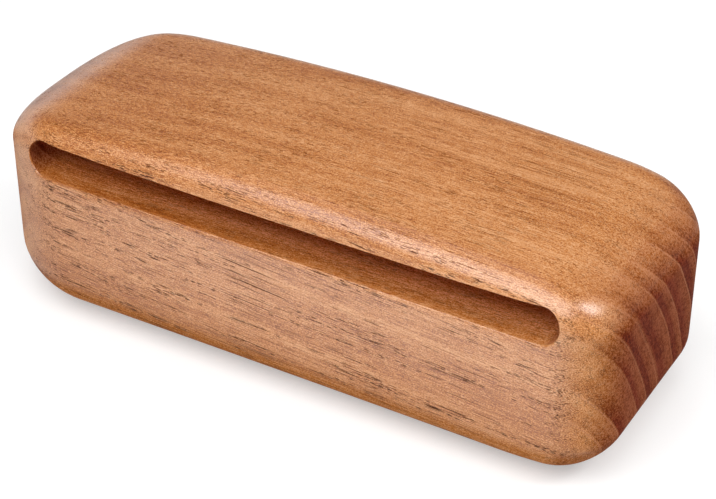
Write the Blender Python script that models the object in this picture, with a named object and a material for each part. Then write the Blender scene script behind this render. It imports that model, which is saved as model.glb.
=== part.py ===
"""Slotted wood block, a percussion idiophone shaped from one piece of hardwood.

Frame: metres, +Z up. The origin is the middle of the flat base. +X runs along
the grain to the right end, and the slot opens in the front, towards -Y.
"""
import math

import bmesh
import bpy
from mathutils import Matrix, Vector

MM = 0.001

# Blank
BLOCK_LENGTH = 225.0 * MM
BLOCK_WIDTH = 84.5 * MM
BLOCK_HEIGHT = 74.0 * MM

# Rounding of the blank: upright corners in plan, then the top and base edges
LEFT_CORNER_RADIUS = 36.5 * MM
RIGHT_CORNER_RADIUS = 19.5 * MM
TOP_EDGE_RADIUS = 9.5 * MM
BASE_EDGE_RADIUS = 19.0 * MM

# Crown of the striking face: how far it falls from its middle
CROWN_ALONG = 5.9 * MM
CROWN_ACROSS = 1.3 * MM

# Extra fall of the striking face close to each end
LEFT_END_FALL = 10.5 * MM
LEFT_END_REACH = 28.0 * MM
RIGHT_END_FALL = 7.2 * MM
RIGHT_END_REACH = 30.0 * MM

# Lift of the base close to both ends
BASE_LIFT = 4.8 * MM
BASE_LIFT_REACH = 34.0 * MM

# Slot, routed in from the front with a cutter as wide as the slot is high
SLOT_HEIGHT = 12.0 * MM
LIP_THICKNESS = 8.9 * MM
LEFT_WALL = 24.0 * MM
RIGHT_WALL = 15.0 * MM
BACK_WALL = 20.5 * MM
SLOT_TILT = math.radians(0.36)
MOUTH_EASE = 0.7 * MM

# Fineness of the facets
LEFT_CORNER_STEPS = 12
RIGHT_CORNER_STEPS = 9
TOP_EDGE_STEPS = 5
BASE_EDGE_STEPS = 7
SLOT_END_STEPS = 14
EASE_STEPS = 2
SLICE_ALONG = 7.5 * MM
SLICE_ACROSS = 12.0 * MM
MERGE = 0.02 * MM


def clear_scene():
    for obj in list(bpy.data.objects):
        bpy.data.objects.remove(obj, do_unlink=True)


def make_collection(name):
    collection = bpy.data.collections.new(name)
    bpy.context.scene.collection.children.link(collection)
    return collection


def wood_material():
    """Satin-lacquered mahogany."""
    material = bpy.data.materials.new("lacquered_mahogany")
    material.use_nodes = True
    shader = material.node_tree.nodes["Principled BSDF"]
    shader.inputs["Base Color"].default_value = (0.47, 0.21, 0.088, 1.0)
    shader.inputs["Roughness"].default_value = 0.42
    shader.inputs["Metallic"].default_value = 0.0
    material.diffuse_color = (0.47, 0.21, 0.088, 1.0)
    return material


def near_end(distance_in, reach):
    """0 up to the reach from an end, rising to 1 at the end itself."""
    return max(0.0, 1.0 - distance_in / reach) ** 2


def top_fall(x, y):
    """How far the striking face lies below its middle at a point in plan."""
    along = x / (BLOCK_LENGTH / 2)
    across = y / (BLOCK_WIDTH / 2)
    left = near_end(BLOCK_LENGTH / 2 + x, LEFT_END_REACH)
    right = near_end(BLOCK_LENGTH / 2 - x, RIGHT_END_REACH)
    return (CROWN_ALONG * along ** 2 + CROWN_ACROSS * across ** 2
            + LEFT_END_FALL * left + RIGHT_END_FALL * right)


def base_lift(x):
    """How far the base lies above the surface it stands on."""
    return BASE_LIFT * near_end(BLOCK_LENGTH / 2 - abs(x), BASE_LIFT_REACH)


def edges_where(bm, test):
    return [edge for edge in bm.edges if all(test(vert.co) for vert in edge.verts)]


def round_edges(bm, edges, radius, steps):
    bmesh.ops.bevel(bm, geom=edges, offset=radius, segments=steps, profile=0.5,
                    affect="EDGES", offset_type="OFFSET")


def slice_evenly(bm, axis, half_length, spacing):
    """Cut the whole skin across at even places, so that it can be crowned."""
    count = 2 * max(1, round(half_length / spacing))
    for step in range(1, count):
        place = Vector()
        place[axis] = half_length * (2 * step / count - 1)
        normal = Vector()
        normal[axis] = 1.0
        geometry = bm.verts[:] + bm.edges[:] + bm.faces[:]
        bmesh.ops.bisect_plane(bm, geom=geometry, plane_co=place, plane_no=normal, dist=MERGE)


def make_blank(collection):
    """The sawn blank with its corners rounded and its top and ends sanded to shape."""
    half_length = BLOCK_LENGTH / 2
    half_width = BLOCK_WIDTH / 2
    bm = bmesh.new()
    size = Matrix.Diagonal((BLOCK_LENGTH, BLOCK_WIDTH, BLOCK_HEIGHT, 1.0))
    seat = Matrix.Translation((0.0, 0.0, BLOCK_HEIGHT / 2))
    bmesh.ops.create_cube(bm, size=1.0, matrix=seat @ size)

    left = edges_where(bm, lambda co: co.x < 0)
    uprights = [edge for edge in left if abs(edge.verts[0].co.z - edge.verts[1].co.z) > MERGE]
    round_edges(bm, uprights, min(LEFT_CORNER_RADIUS, 0.98 * half_width), LEFT_CORNER_STEPS)
    right = edges_where(bm, lambda co: co.x > half_length - MERGE)
    uprights = [edge for edge in right if abs(edge.verts[0].co.z - edge.verts[1].co.z) > MERGE]
    round_edges(bm, uprights, min(RIGHT_CORNER_RADIUS, 0.98 * half_width), RIGHT_CORNER_STEPS)

    tightest = 0.98 * min(LEFT_CORNER_RADIUS, RIGHT_CORNER_RADIUS)
    rim = edges_where(bm, lambda co: co.z > BLOCK_HEIGHT - MERGE)
    round_edges(bm, rim, min(TOP_EDGE_RADIUS, tightest), TOP_EDGE_STEPS)
    foot = edges_where(bm, lambda co: co.z < MERGE)
    round_edges(bm, foot, min(BASE_EDGE_RADIUS, tightest), BASE_EDGE_STEPS)

    slice_evenly(bm, 0, half_length, SLICE_ALONG)
    slice_evenly(bm, 1, half_width, SLICE_ACROSS)
    bmesh.ops.remove_doubles(bm, verts=bm.verts, dist=MERGE)
    for vert in bm.verts:
        share = vert.co.z / BLOCK_HEIGHT
        fall = top_fall(vert.co.x, vert.co.y)
        lift = base_lift(vert.co.x)
        vert.co.z += (1.0 - share) * lift - share * fall

    mesh = bpy.data.meshes.new("slotted_block")
    bm.to_mesh(mesh)
    bm.free()
    block = bpy.data.objects.new("slotted_block", mesh)
    collection.objects.link(block)
    return block


def make_slot_cutter(collection):
    """The space that the router clears: a slot with half-round ends and a flat back."""
    past_front = SLOT_HEIGHT
    depth = BLOCK_WIDTH - BACK_WALL
    length = BLOCK_LENGTH - LEFT_WALL - RIGHT_WALL
    bm = bmesh.new()
    size = Matrix.Diagonal((length, depth + past_front, SLOT_HEIGHT, 1.0))
    bmesh.ops.create_cube(bm, size=1.0, matrix=size)
    ends = edges_where(bm, lambda co: True)
    ends = [edge for edge in ends if abs(edge.verts[0].co.y - edge.verts[1].co.y) > MERGE]
    round_edges(bm, ends, SLOT_HEIGHT / 2 - MERGE, SLOT_END_STEPS // 2)
    mesh = bpy.data.meshes.new("slot_cutter")
    bm.to_mesh(mesh)
    bm.free()
    cutter = bpy.data.objects.new("slot_cutter", mesh)
    middle_x = (LEFT_WALL - RIGHT_WALL) / 2
    middle_y = -BLOCK_WIDTH / 2 + (depth - past_front) / 2
    middle_z = BLOCK_HEIGHT - LIP_THICKNESS - SLOT_HEIGHT / 2
    cutter.location = (middle_x, middle_y, middle_z)
    cutter.rotation_euler = (0.0, SLOT_TILT, 0.0)
    cutter.hide_render = True
    cutter.display_type = "WIRE"
    collection.objects.link(cutter)
    return cutter


def cut_slot(block, cutter):
    cut = block.modifiers.new("slot", "BOOLEAN")
    cut.operation = "DIFFERENCE"
    cut.solver = "EXACT"
    cut.object = cutter
    bpy.context.view_layer.update()
    graph = bpy.context.evaluated_depsgraph_get()
    cut_mesh = bpy.data.meshes.new_from_object(block.evaluated_get(graph))
    block.modifiers.clear()
    blank_mesh = block.data
    block.data = cut_mesh
    bpy.data.meshes.remove(blank_mesh)
    cut_mesh.name = "slotted_block"


def ease_mouth(block):
    """Sand the sharp edge where the slot meets the front face."""
    bm = bmesh.new()
    bm.from_mesh(block.data)
    sharp = [edge for edge in bm.edges
             if edge.is_manifold and edge.calc_face_angle_signed() > math.radians(45)]
    round_edges(bm, sharp, MOUTH_EASE, EASE_STEPS)
    bmesh.ops.remove_doubles(bm, verts=bm.verts, dist=MERGE)
    bm.to_mesh(block.data)
    bm.free()


def finish(block):
    block.data.materials.append(wood_material())
    block.data.shade_smooth()
    block.data.set_sharp_from_angle(angle=math.radians(35))


clear_scene()
parts = make_collection("wood_block")
cutters = make_collection("cutters")
slotted_block = make_blank(parts)
slot_cutter = make_slot_cutter(cutters)
cut_slot(slotted_block, slot_cutter)
ease_mouth(slotted_block)
finish(slotted_block)
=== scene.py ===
import math

import bpy
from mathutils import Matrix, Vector


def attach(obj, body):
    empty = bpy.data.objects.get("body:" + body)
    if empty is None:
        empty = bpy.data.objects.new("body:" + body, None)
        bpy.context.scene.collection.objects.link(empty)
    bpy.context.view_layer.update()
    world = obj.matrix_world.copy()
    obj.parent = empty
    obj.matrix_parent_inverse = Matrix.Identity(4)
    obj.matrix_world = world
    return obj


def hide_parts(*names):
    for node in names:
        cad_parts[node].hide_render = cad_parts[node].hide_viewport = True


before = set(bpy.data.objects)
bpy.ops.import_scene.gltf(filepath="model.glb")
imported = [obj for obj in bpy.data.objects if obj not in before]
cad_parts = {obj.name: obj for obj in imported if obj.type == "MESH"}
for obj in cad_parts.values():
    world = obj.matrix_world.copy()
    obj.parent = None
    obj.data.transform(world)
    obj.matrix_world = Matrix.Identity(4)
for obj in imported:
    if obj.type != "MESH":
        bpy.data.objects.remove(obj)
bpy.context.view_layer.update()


# The block is one piece of mahogany. It is sawn square, its upright corners and
# long edges are rounded over, and the striking face is then sanded to a crown
# that falls away towards both ends. The base stays flat in the middle.
MM = 0.001
LENGTH = 225.0 * MM
WIDTH = 84.5 * MM
HEIGHT = 74.0 * MM
LEFT_CORNER = 36.5 * MM
RIGHT_CORNER = 19.5 * MM
TOP_EDGE = 9.5 * MM
BASE_EDGE = 19.0 * MM
NEAR = 0.02 * MM


def pick_edges(obj, test):
    """Enter edit mode with only those edges selected whose two ends pass the test."""
    bpy.ops.object.select_all(action="DESELECT")
    obj.select_set(True)
    bpy.context.view_layer.objects.active = obj
    bpy.ops.object.mode_set(mode="EDIT")
    bpy.ops.mesh.select_mode(type="EDGE")
    bpy.ops.mesh.select_all(action="DESELECT")
    bpy.ops.object.mode_set(mode="OBJECT")
    verts = obj.data.vertices
    for edge in obj.data.edges:
        first, second = edge.vertices
        edge.select = test(verts[first].co, verts[second].co)
    bpy.ops.object.mode_set(mode="EDIT")


def pick_all(obj):
    """Enter edit mode with the whole mesh selected."""
    pick_edges(obj, lambda a, b: True)
    bpy.ops.mesh.select_all(action="SELECT")


def round_over(obj, test, radius, steps):
    """Round the edges that pass the test, as a router bit would."""
    pick_edges(obj, test)
    bpy.ops.mesh.bevel(offset_type="OFFSET", offset=radius, segments=steps, profile=0.5,
                       affect="EDGES")
    bpy.ops.object.mode_set(mode="OBJECT")


def slice_evenly(obj, axis, low, high, count):
    """Cut the skin across at even places, so that it can be bent smoothly."""
    pick_all(obj)
    normal = [0.0, 0.0, 0.0]
    normal[axis] = 1.0
    for step in range(1, count):
        middle = [0.0, 0.0, 0.0]
        middle[axis] = low + (high - low) * step / count
        bpy.ops.mesh.select_all(action="SELECT")
        bpy.ops.mesh.bisect(plane_co=middle, plane_no=normal, threshold=NEAR)
    bpy.ops.object.mode_set(mode="OBJECT")


def upright(a, b):
    """Whether the edge between two points stands up."""
    return abs(a.z - b.z) > NEAR


bpy.ops.object.select_all(action="DESELECT")
bpy.ops.mesh.primitive_cube_add(size=1, location=(0, 0, HEIGHT / 2))
block = bpy.context.object
block.name = "wood_block_body"
block.scale = (LENGTH, WIDTH, HEIGHT)
bpy.ops.object.transform_apply(location=True, rotation=True, scale=True)
round_over(block, lambda a, b: upright(a, b) and a.x < 0, LEFT_CORNER, steps=30)
round_over(block, lambda a, b: upright(a, b) and a.x > LENGTH / 2 - NEAR, RIGHT_CORNER, steps=24)
round_over(block, lambda a, b: min(a.z, b.z) > HEIGHT - NEAR, TOP_EDGE, steps=12)
round_over(block, lambda a, b: max(a.z, b.z) < NEAR, BASE_EDGE, steps=16)
slice_evenly(block, axis=0, low=-LENGTH / 2, high=LENGTH / 2, count=90)
slice_evenly(block, axis=1, low=-WIDTH / 2, high=WIDTH / 2, count=30)
slice_evenly(block, axis=2, low=0, high=HEIGHT, count=24)

CROWN_ALONG = 5.9 * MM
CROWN_ACROSS = 1.3 * MM
LEFT_FALL = 10.5 * MM
LEFT_REACH = 28.0 * MM
RIGHT_FALL = 7.2 * MM
RIGHT_REACH = 30.0 * MM
BASE_LIFT = 4.8 * MM
BASE_REACH = 34.0 * MM


def near_end(inset, reach):
    """1 at the end itself, falling to 0 at the reach from it."""
    return max(0.0, 1.0 - inset / reach) ** 2


def top_fall(x, y):
    """How far the striking face lies below its middle."""
    return (CROWN_ALONG * (2 * x / LENGTH) ** 2 + CROWN_ACROSS * (2 * y / WIDTH) ** 2
            + LEFT_FALL * near_end(LENGTH / 2 + x, LEFT_REACH)
            + RIGHT_FALL * near_end(LENGTH / 2 - x, RIGHT_REACH))


def base_lift(x):
    """How far the base lies above the floor."""
    return BASE_LIFT * near_end(LENGTH / 2 - abs(x), BASE_REACH)


for vert in block.data.vertices:
    part_way_up = vert.co.z / HEIGHT
    fall = top_fall(vert.co.x, vert.co.y)
    vert.co.z += (1 - part_way_up) * base_lift(vert.co.x) - part_way_up * fall


# The slot is routed in from the front with a 12 mm cutter, so its ends are half
# round and its back is flat. It leans a third of a degree, and its mouth is
# eased with sandpaper.
SLOT = 12.0 * MM
LIP = 8.9 * MM
LEFT_WALL = 24.0 * MM
RIGHT_WALL = 15.0 * MM
BACK_WALL = 20.5 * MM
SLOT_LEAN = math.radians(0.36)
MOUTH_EASE = 0.7 * MM
EASE_STEPS = 5
slot_length = LENGTH - LEFT_WALL - RIGHT_WALL
slot_back = WIDTH / 2 - BACK_WALL
slot_middle = Vector(((LEFT_WALL - RIGHT_WALL) / 2, 0, HEIGHT - LIP - SLOT / 2))
half_run = slot_length / 2 - SLOT / 2
lean = math.tan(SLOT_LEAN)

# The front skin is followed up its rounded top edge to just short of where that
# edge is level.
EDGE_FOLLOWED = 0.98 * TOP_EDGE


def front_skin(x, z):
    """The y of the block's front face, with its rounded edge and corners."""
    fall = top_fall(x, -WIDTH / 2)
    lift = base_lift(x)
    blank_z = (z - lift) / (1 - (lift + fall) / HEIGHT)
    into_edge = min(max(0.0, blank_z - (HEIGHT - TOP_EDGE)), EDGE_FOLLOWED)
    inset = TOP_EDGE - math.sqrt(TOP_EDGE ** 2 - into_edge ** 2)
    corner = LEFT_CORNER if x < 0 else RIGHT_CORNER
    into_corner = max(0.0, abs(x) - (LENGTH / 2 - corner))
    return corner - WIDTH / 2 - math.sqrt(max(0.0, (corner - inset) ** 2 - into_corner ** 2))


# The cutter's sections, from the front to the back: how deep in the block each
# lies, and how much wider than the slot it is, which leaves a rounded mouth. One
# of them lies where the lacquer ends.
MOUTH_TURN = math.radians(66)
OUTSIDE = 1.0 * MM
WELL_OUTSIDE = 6.0 * MM
LACQUER_REACH = 12.0 * MM
STRAIGHT_DEPTHS = (4.0 * MM, LACQUER_REACH, 36.0 * MM)
widest = MOUTH_EASE * (1 - math.cos(MOUTH_TURN)) + OUTSIDE * math.tan(MOUTH_TURN)
sections = [(-WELL_OUTSIDE, widest), (-OUTSIDE, widest)]
for step in range(EASE_STEPS + 1):
    turn = MOUTH_TURN * (1 - step / EASE_STEPS)
    sections.append((MOUTH_EASE * (1 - math.sin(turn)), MOUTH_EASE * (1 - math.cos(turn))))
sections += [(depth, 0.0) for depth in STRAIGHT_DEPTHS]

bpy.ops.object.select_all(action="DESELECT")
bpy.ops.mesh.primitive_cube_add(size=1, location=(0, len(sections) / 2, 0))
cutter = bpy.context.object
cutter.name = "slot_cutter"
cutter.scale = (slot_length, len(sections), SLOT)
bpy.ops.object.transform_apply(location=True, rotation=True, scale=True)
round_over(cutter, lambda a, b: abs(a.y - b.y) > NEAR, SLOT / 2 - NEAR, steps=20)
slice_evenly(cutter, axis=0, low=-slot_length / 2, high=slot_length / 2, count=90)
slice_evenly(cutter, axis=1, low=0, high=len(sections), count=len(sections))
for vert in cutter.data.vertices:
    x, row, z = vert.co
    spine = max(-half_run, min(half_run, x))
    outline = Vector((x - spine, 0, z)).normalized() * SLOT / 2
    flat = slot_middle + Vector((spine, 0, -lean * spine)) + outline
    if round(row) == len(sections):
        vert.co = (flat.x, slot_back, flat.z)
    else:
        depth, flare = sections[round(row)]
        wide = flat + outline * (flare / (SLOT / 2))
        vert.co = (wide.x, front_skin(flat.x, flat.z) + depth, wide.z)

cut = block.modifiers.new("slot", "BOOLEAN")
cut.solver = "EXACT"
cut.object = cutter
bpy.ops.object.select_all(action="DESELECT")
block.select_set(True)
bpy.context.view_layer.objects.active = block
bpy.ops.object.modifier_apply(modifier=cut.name)
bpy.data.objects.remove(cutter, do_unlink=True)
pick_all(block)
bpy.ops.mesh.remove_doubles(threshold=NEAR / 2)
bpy.ops.object.mode_set(mode="OBJECT")
bpy.ops.object.shade_smooth_by_angle(angle=math.radians(40))

# Each point of the slot's wall keeps how deep it lies: 0 at the mouth, and 1 where
# the lacquer no longer reaches. The skin outside the slot is 0.
WALL_MARGIN = 0.05 * MM
slot_depth = block.data.attributes.new("slot_depth", "FLOAT", "POINT")
for vert in block.data.vertices:
    from_middle = vert.co - slot_middle
    off_spine = from_middle.z + lean * from_middle.x
    past_run = max(0.0, abs(from_middle.x) - half_run)
    in_outline = math.hypot(off_spine, past_run) < SLOT / 2 + WALL_MARGIN
    if in_outline and vert.co.y < slot_back + NEAR:
        deep = vert.co.y - front_skin(vert.co.x, vert.co.z)
        slot_depth.data[vert.index].value = min(1.0, max(0.0, deep / LACQUER_REACH))


# The wood is straight-grained mahogany under a satin lacquer. Growth rings,
# pores and colour bands are worked out in the solid, round a pith that lies low
# in front of the block, so the end grain and the long grain meet at the corners.
class Signal:
    """One socket of a shader. Sums written on it add Math nodes."""

    def __init__(self, tree, socket):
        self.tree = tree
        self.socket = socket

    def plug(self, node, sockets):
        """Link or set the sockets of a node, given by name or number."""
        for key, value in sockets.items():
            if isinstance(value, Signal):
                self.tree.links.new(value.socket, node.inputs[key])
            else:
                node.inputs[key].default_value = value

    def node(self, kind, settings, sockets, output=0):
        """Add a node, with its settings first, and give back one of its outputs."""
        made = self.tree.nodes.new(kind)
        for name, value in settings.items():
            if name == "stops":
                ramp = made.color_ramp.elements
                while len(ramp) < len(value):
                    ramp.new(0.5)
                for element, (position, colour) in zip(ramp, value):
                    element.position = position
                    element.color = colour
            else:
                setattr(made, name, value)
        self.plug(made, sockets)
        return Signal(self.tree, made.outputs[output])

    def beside(self, name):
        """Another output of the node that this one comes from."""
        return Signal(self.tree, self.socket.node.outputs[name])

    def parts(self):
        """The x, y and z of a point or a direction."""
        first = self.node("ShaderNodeSeparateXYZ", {}, {0: self})
        return first, first.beside("Y"), first.beside("Z")

    def maths(self, operation, *values, clamp=False):
        settings = {"operation": operation, "use_clamp": clamp}
        return self.node("ShaderNodeMath", settings, dict(enumerate(values)))

    def __add__(self, other):
        return self.maths("ADD", self, other)

    def __radd__(self, other):
        return self.maths("ADD", other, self)

    def __sub__(self, other):
        return self.maths("SUBTRACT", self, other)

    def __rsub__(self, other):
        return self.maths("SUBTRACT", other, self)

    def __mul__(self, other):
        return self.maths("MULTIPLY", self, other)

    def __rmul__(self, other):
        return self.maths("MULTIPLY", other, self)

    def __truediv__(self, other):
        return self.maths("DIVIDE", self, other)

    def __pow__(self, other):
        return self.maths("POWER", self, other)

    def __neg__(self):
        return -1 * self

    def __abs__(self):
        return self.maths("ABSOLUTE", self)

    def fraction(self):
        return self.maths("FRACT", self)

    def highest(self, other):
        return self.maths("MAXIMUM", self, other)

    def clamp(self):
        return self.maths("ADD", self, 0.0, clamp=True)

    def step(self, low, high):
        """0 below low, 1 above high, smooth between them."""
        return self.node("ShaderNodeMapRange", {"interpolation_type": "SMOOTHSTEP"},
                         {"Value": self, "From Min": low, "From Max": high})

    def blend(self, first, second, how="MIX"):
        """The first colour where this is 0, and the second mixed in where it is 1."""
        return self.node("ShaderNodeMix", {"data_type": "RGBA", "blend_type": how},
                         {0: self, 6: first, 7: second}, output=2)

    def join(self, y, z):
        """The point that has this as its x."""
        return self.node("ShaderNodeCombineXYZ", {}, {0: self, 1: y, 2: z})

    def noise(self, detail=2.0, roughness=0.5):
        """Noise of a point, with features one unit across, that averages 0."""
        made = self.node("ShaderNodeTexNoise", {}, {"Vector": self, "Scale": 1.0,
                         "Detail": detail, "Roughness": roughness})
        return made - 0.5


wood = bpy.data.materials.new("lacquered_mahogany")
wood.use_nodes = True
lacquered = Signal(wood.node_tree, wood.node_tree.nodes["Principled BSDF"].outputs[0])
place = lacquered.node("ShaderNodeTexCoord", {}, {}, output="Object")
x, y, z = (part / MM for part in place.parts())

# Millimetres from here on. The pith lies low in front of the block. The grain runs
# along the block, but falls a little towards the right, and wanders.
PITH_Y = -164.0
PITH_Z = -60.0
GRAIN_DROP = 0.08
GRAIN_SHIFT = 0.035
WANDER = 5.0
WANDER_RUN = 90.0
WANDER_GAP = 45.0
SECOND_WANDER = 7.0
RIPPLE = 0.3
RIPPLE_RUN = 9.0
RIPPLE_GAP = 3.0
side_y = y / WANDER_GAP
side_z = z / WANDER_GAP
wander_y = (x / WANDER_RUN).join(side_y, side_z).noise(1.0)
wander_z = (x / WANDER_RUN + SECOND_WANDER).join(side_y, side_z).noise(1.0)
ripple = (x / RIPPLE_RUN).join(y / RIPPLE_GAP, z / RIPPLE_GAP).noise(1.0)
from_end = x - LENGTH / 2 / MM
across = y - PITH_Y - GRAIN_SHIFT * from_end + WANDER * wander_y + RIPPLE * ripple
up = z - PITH_Z + GRAIN_DROP * from_end + WANDER * wander_z - RIPPLE * ripple
radius = (across * across + up * up) ** 0.5


def grain(run, gap, detail=1.0):
    """Noise drawn out along the grain: features a run long and a gap wide."""
    return (x / run).join(across / gap, up / gap).noise(detail)


def by_radius(run, seed_y, seed_z, detail=1.0):
    """Noise that is the same all round the pith and changes over a run of radius."""
    return (radius / run).join(seed_y, seed_z).noise(detail)


# A growth ring starts dark, pales outwards and ends in a thin pale line. Wide and
# narrow years take turns, some rings are faint, and finer lines lie between them.
# The steps below are in shares of one ring.
RING = 8.0
SLOW_YEARS = 1.6
QUICK_YEARS = 1.1
MIDDLE_STRENGTH = 0.55
STRENGTH_SPREAD = 1.6
FINE_RING = 1.1
FINE_RING_RUN = 300.0
rings = (radius / RING + SLOW_YEARS * by_radius(31, 0.3, 0.7, 2.0)
         + QUICK_YEARS * by_radius(11, 2.3, 0.7))
phase = rings.fraction()
strength = (MIDDLE_STRENGTH + STRENGTH_SPREAD * by_radius(10, 5.1, 0.2)).clamp()
ring_dark = strength * phase.step(-0.03, 0.05) * (1 - phase.step(0.05, 0.75))
ring_line = strength * phase.step(0.89, 0.94) * (1 - phase.step(0.95, 0.99))
fine_ring = (radius / FINE_RING).join(x / FINE_RING_RUN, 0.0).noise(detail=3.0, roughness=0.6)


# Pores are thin vessels along the grain: dashes on the long faces, dots on the
# ends. They are faint in most of the wood and dark in the layers where they crowd.
VESSEL_EDGE = 0.10
crowding = grain(run=60, gap=1.9)


def vessels(run, gap, share, width, faint, dark, crowd):
    """Vessels up to a run long, in a share of the cells a gap wide."""
    cell_place = (x / run).join(across / gap, up / gap)
    distance = cell_place.node("ShaderNodeTexVoronoi", {}, {"Vector": cell_place, "Scale": 1.0})
    cell_colour = distance.beside("Color")
    lot = cell_colour.node("ShaderNodeSeparateColor", {}, {"Color": cell_colour})
    size = width * lot.step(1 - share, 1 - share / 2)
    inside = ((size - distance) / VESSEL_EDGE).clamp()
    return inside * (faint + (dark - faint) * crowding.step(*crowd))


ticks = vessels(run=2.6, gap=0.31, share=0.48, width=0.46,
                faint=0.10, dark=0.95, crowd=(0.0, 0.12))
dashes = vessels(run=10.0, gap=0.29, share=0.42, width=0.44,
                 faint=0.12, dark=0.95, crowd=(-0.03, 0.09))
hairs = vessels(run=36.0, gap=0.29, share=0.42, width=0.43,
                faint=0.22, dark=1.0, crowd=(-0.08, 0.06))
pore = ticks.highest(dashes).highest(hairs)

# How far the surface turns towards the right, the front and the top: -1 to 1.
normal = place.node("ShaderNodeNewGeometry", {}, {}, output="Normal")
rightward, backward, upward = normal.parts()
forward = -backward
downward = -upward
steep = abs(rightward)
turned = steep.step(0.15, 0.60)

# End grain drinks the lacquer and turns a dark, dull red brown, the dark wood of each ring first.
# Painted light keeps the rounded edge over the slot paler, as it faces the light, and painted
# shade darkens the rest of the top edge and, a little, the base where it turns up at the ends.
SOAK_START = 0.65
SOAK_SPAN = 0.40
SOAK_CURVE = 1.2
RING_SOAKS_EARLY = 0.15
CORNER_PAINTED_LIGHT = 0.10
TOP_EDGE_SHADE = 0.48
FOOT_SHADE = 0.36
# The rounded edge over the slot is kept paler as painted light; the top edge and the turned-up
# base are darkened as painted shade.
front_corner = upward.step(0.10, 0.50) * forward.step(0.10, 0.50)
top_edge = upward.step(0.0, 0.6) * (1 - forward.step(0.0, 0.32))
foot = downward.step(0.05, 0.35) * steep.step(0.05, 0.45)
across_grain_less_lit_corner = steep + RING_SOAKS_EARLY * ring_dark - CORNER_PAINTED_LIGHT * front_corner - SOAK_START
end_soak_less_lit_corner = (across_grain_less_lit_corner / SOAK_SPAN).clamp() ** SOAK_CURVE
end_grain_and_shade = 1 - ((1 - end_soak_less_lit_corner) * (1 - TOP_EDGE_SHADE * top_edge * steep.step(0.18, 0.58))
                 * (1 - FOOT_SHADE * foot))

# The tone goes from 0, dark, to 1, pale. Broad ribbons, thin streaks, short
# fibres and specks lie on a middle tone that pales to the right on the striking
# face. The rings show most where the wood is cut across.
MIDDLE_TONE = 0.51
TONE_DRIFT = 0.0013
RIBBON_TONE = 0.85
STREAK_TONE = 1.4
FIBRE_TONE = 1.0
SPECK_TONE = 1.6
STIPPLE_TONE = 3.2
FINE_RING_TONE = 0.35
END_FINE_RING_TONE = 0.8
TURNED_TONE = 0.08
RING_TONE = 0.07
TURNED_RING_TONE = 0.22
ribbon = grain(run=300, gap=7.0)
streak = grain(run=100, gap=0.26)
fibre = grain(run=5, gap=0.18)
speckle = grain(run=0.5, gap=0.22, detail=0.0)
stipple = grain(run=0.8, gap=0.70)
tone = (MIDDLE_TONE + TONE_DRIFT * x * upward.clamp()
        + RIBBON_TONE * ribbon + STREAK_TONE * streak + FIBRE_TONE * fibre
        + SPECK_TONE * speckle + STIPPLE_TONE * end_grain_and_shade * stipple
        + (FINE_RING_TONE + END_FINE_RING_TONE * end_grain_and_shade) * fine_ring
        + TURNED_TONE * turned - (RING_TONE + TURNED_RING_TONE * turned) * ring_dark)

DARK_WOOD = (0.25, 0.060, 0.007, 1)
RED_WOOD = (0.43, 0.138, 0.023, 1)
GOLD_WOOD = (0.52, 0.197, 0.047, 1)
PALE_WOOD = (0.68, 0.340, 0.155, 1)
END_BROWN = (0.375, 0.152, 0.137, 1)
END_DARK = (0.30, 0.110, 0.097, 1)
RING_PALE = (0.50, 0.21, 0.11, 1)
long_grain = tone.node("ShaderNodeValToRGB", {"stops": [
    (0.0, DARK_WOOD), (0.35, RED_WOOD), (0.55, GOLD_WOOD), (1.0, PALE_WOOD)]}, {"Fac": tone})
soak = ring_dark.blend(END_BROWN, END_DARK)
soaked_and_shaded = end_grain_and_shade.blend(long_grain, soak, how="MULTIPLY")
LONG_GRAIN_LINE = 0.08
END_GRAIN_LINE = 0.55
line_strength = LONG_GRAIN_LINE + END_GRAIN_LINE * steep.step(0.3, 0.7)
ringed = (ring_line * line_strength).blend(soaked_and_shaded, RING_PALE)

# On the striking face, and less on the turned ends, lacquer fills the pores.
PORE_BROWN = (0.065, 0.017, 0.006, 1)
TOP_FILL = 0.50
END_FILL = 0.35
open_pore = (1 - TOP_FILL * upward.step(0.50, 0.95)) * (1 - END_FILL * turned)
outside = (pore * open_pore).blend(ringed, PORE_BROWN)

# Inside the slot the wood is rough from the cutter. For a few millimetres from the mouth it is
# darker, and further in it is paler, partly as bare wood and partly as painted light.
MOUTH_TINT = (0.86, 0.79, 0.74, 1)
# The deep tint lifts the colour past the wood's own, most in blue, as painted light and sheen
# reaching into the slot.
BARE_AND_PAINTED_LIGHT_TINT = (1.40, 1.35, 1.60, 1)
in_slot = place.node("ShaderNodeAttribute", {"attribute_name": "slot_depth"}, {}, output="Fac")
slot_wall = in_slot.step(0.0, 0.2)
tint = in_slot.step(0.25, 0.85).blend(MOUTH_TINT, BARE_AND_PAINTED_LIGHT_TINT)
colour = slot_wall.blend(outside, tint, how="MULTIPLY")

# The surface itself: raised fibres, sunk pores, and cutter marks in the slot.
SPECK_HEIGHT = 0.5
FIBRE_HEIGHT = 0.8
CUTTER_MARKS = 0.8
GRAIN_DEPTH = 0.12 * MM
height = (FIBRE_HEIGHT * fibre + SPECK_HEIGHT * speckle - pore
          + CUTTER_MARKS * slot_wall * streak)
bump = height.node("ShaderNodeBump", {}, {"Strength": 0.5, "Distance": GRAIN_DEPTH,
                                          "Height": height})

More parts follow.
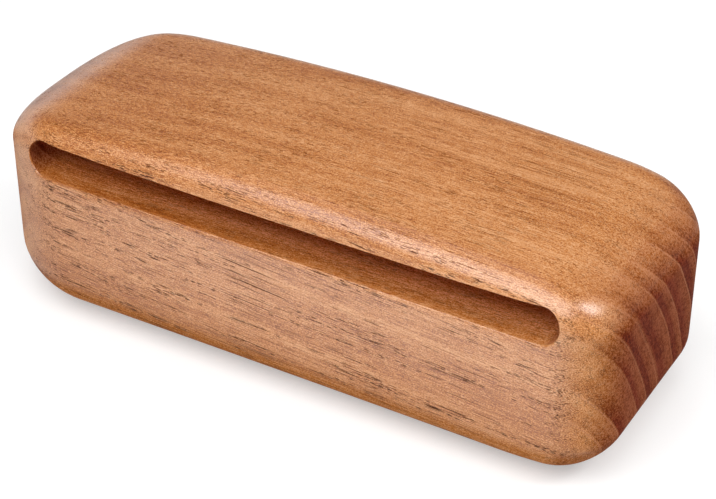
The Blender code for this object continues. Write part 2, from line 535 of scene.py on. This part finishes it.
# A satin lacquer lies on the wood. It has sunk in on the end grain, under the
# turn of the base, on the right of the top edge, in the slot and in the pores.
SATIN = 0.42
ROUGH_FIBRE = 0.3
ROUGH_PORE = 0.25
lacquered.plug(lacquered.socket.node, {
    "Base Color": colour, "Normal": bump,
    "Roughness": (SATIN + ROUGH_FIBRE * fibre + ROUGH_PORE * pore).clamp(),
    "Specular IOR Level": 0.15, "Coat Weight": 1.0, "Coat Roughness": 0.29, "Coat IOR": 1.7})
dull = place.node("ShaderNodeBsdfPrincipled", {}, {
    "Base Color": colour, "Normal": bump, "Roughness": 0.7, "Specular IOR Level": 0.05})
dry = (steep.step(0.25, 0.90) * (1 - upward.step(0.25, 0.70))).highest(steep.step(0.72, 0.92))
dry = dry.highest(downward.step(0.0, 0.45))
dry = dry.highest(0.9 * top_edge * rightward.step(0.20, 0.65))
dry = dry.highest(slot_wall).highest(0.9 * pore)
finish = dry.node("ShaderNodeMixShader", {}, {0: dry, 1: lacquered, 2: dull})
finish.plug(wood.node_tree.nodes["Material Output"], {"Surface": finish})

block.data.materials.clear()
block.data.materials.append(wood)
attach(block, "root")
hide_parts("slotted_block")


# The floor is a plain white sheet under the block, which keeps the block's shadow.
# Where the camera sees it, it is lifted to paper white, more so far away. A patch in front of the
# block glows for glossy rays only, as painted light that stands for a white card the lacquer
# mirrors.
FLOOR_SIZE = 6.0
FLOOR_GAP = 0.1 * MM
SHEET_GREY = (0.62, 0.62, 0.62, 1)
LIFT = 0.40
FAR_LIFT = 0.50
CARD_GLOW = 1.15
bpy.ops.object.select_all(action="DESELECT")
bpy.ops.mesh.primitive_plane_add(size=FLOOR_SIZE, location=(0, 0, -FLOOR_GAP))
floor = bpy.context.object
floor.name = "floor"
bpy.ops.object.transform_apply(location=True)
paper = bpy.data.materials.new("white_paper")
paper.use_nodes = True
sheet = Signal(paper.node_tree, paper.node_tree.nodes["Principled BSDF"].outputs[0])
floor_place = sheet.node("ShaderNodeTexCoord", {}, {}, output="Object")
floor_x, floor_y = floor_place.parts()[:2]
away = floor_place.node("ShaderNodeVectorMath", {"operation": "LENGTH"}, {0: floor_place},
                        output="Value")
to_camera = sheet.node("ShaderNodeLightPath", {}, {}, output="Is Camera Ray")
to_lacquer = to_camera.beside("Is Glossy Ray")
# Painted light: this patch of floor glows, and only reflections see it.
card_glow = (floor_x.step(-0.18, -0.04) * (1 - floor_x.step(0.09, 0.14))
        * (-floor_y).step(0.05, 0.10))
glow = (LIFT + FAR_LIFT * away.step(0.5, 1.6)) * to_camera + CARD_GLOW * card_glow * to_lacquer
sheet.plug(sheet.socket.node, {
    "Base Color": SHEET_GREY, "Roughness": 0.9, "Specular IOR Level": 0.0,
    "Emission Color": glow, "Emission Strength": 1.0})
floor.data.materials.append(paper)


# Soft studio light: a very broad box in front above, a smaller one to the right
# and a faint one low in front. The room is pale low down and grey above, with a
# bright patch of ceiling nearly overhead and a window low on the left. The camera
# sees only white past the floor.
def soft_box(name, location, size, power):
    """A rectangular lamp that faces the middle of the block."""
    light = bpy.data.lights.new(name, "AREA")
    light.shape = "RECTANGLE"
    light.size, light.size_y = size
    light.energy = power
    made = bpy.data.objects.new(name, light)
    made.location = location
    turn = (Vector((0, 0, HEIGHT / 2)) - made.location).to_track_quat("-Z", "Y")
    made.rotation_euler = turn.to_euler()
    bpy.context.scene.collection.objects.link(made)


soft_box("overhead_box", location=(0.08, -0.54, 1.07), size=(1.6, 0.95), power=17.5)
soft_box("right_box", location=(0.75, 0.22, 0.78), size=(0.32, 0.32), power=3.4)
soft_box("low_box", location=(0.05, -1.4, 0.30), size=(1.6, 0.5), power=2.5)

WALL = 0.52
CEILING = 0.14
PATCH = 1.1
PATCH_TOWARDS = (-0.22, 0.33, 0.92)
WINDOW = 0.65
world = bpy.data.worlds.new("studio")
world.use_nodes = True
sky = Signal(world.node_tree, world.node_tree.nodes["Background"].outputs[0])
look_right, look_back, look_up = sky.node("ShaderNodeTexCoord", {}, {}, output="Generated").parts()
patch_x, patch_y, patch_z = PATCH_TOWARDS
patch = (patch_z * look_up + patch_y * look_back + patch_x * look_right).step(0.93, 0.99)
window = (-look_right).step(0.50, 0.75) * (1 - look_up.step(0.10, 0.35))
room = WALL + (CEILING - WALL) * look_up.step(0.05, 0.45) + PATCH * patch + WINDOW * window
seen_directly = sky.node("ShaderNodeLightPath", {}, {}, output="Is Camera Ray")
sky.plug(sky.socket.node, {"Color": room * (1 - seen_directly) + seen_directly})
bpy.context.scene.world = world


# The camera stands in front, 30 degrees to the right and 34 degrees above.
PHOTO_WIDTH = 716
FOCAL_PIXELS = 2030.3
SENSOR = 36.0
CAMERA_PLACE = (0.27699, -0.46492, 0.39561)
CAMERA_ABOVE = 34.0877
CAMERA_TO_RIGHT = 29.9746
camera_data = bpy.data.cameras.new("camera")
camera_data.sensor_width = SENSOR
camera_data.lens = FOCAL_PIXELS / PHOTO_WIDTH * SENSOR
camera = bpy.data.objects.new("camera", camera_data)
camera.location = CAMERA_PLACE
camera.rotation_euler = (math.radians(90 - CAMERA_ABOVE), 0, math.radians(CAMERA_TO_RIGHT))
bpy.context.scene.collection.objects.link(camera)
bpy.context.scene.camera = camera
bpy.context.scene.view_settings.view_transform = "Standard"
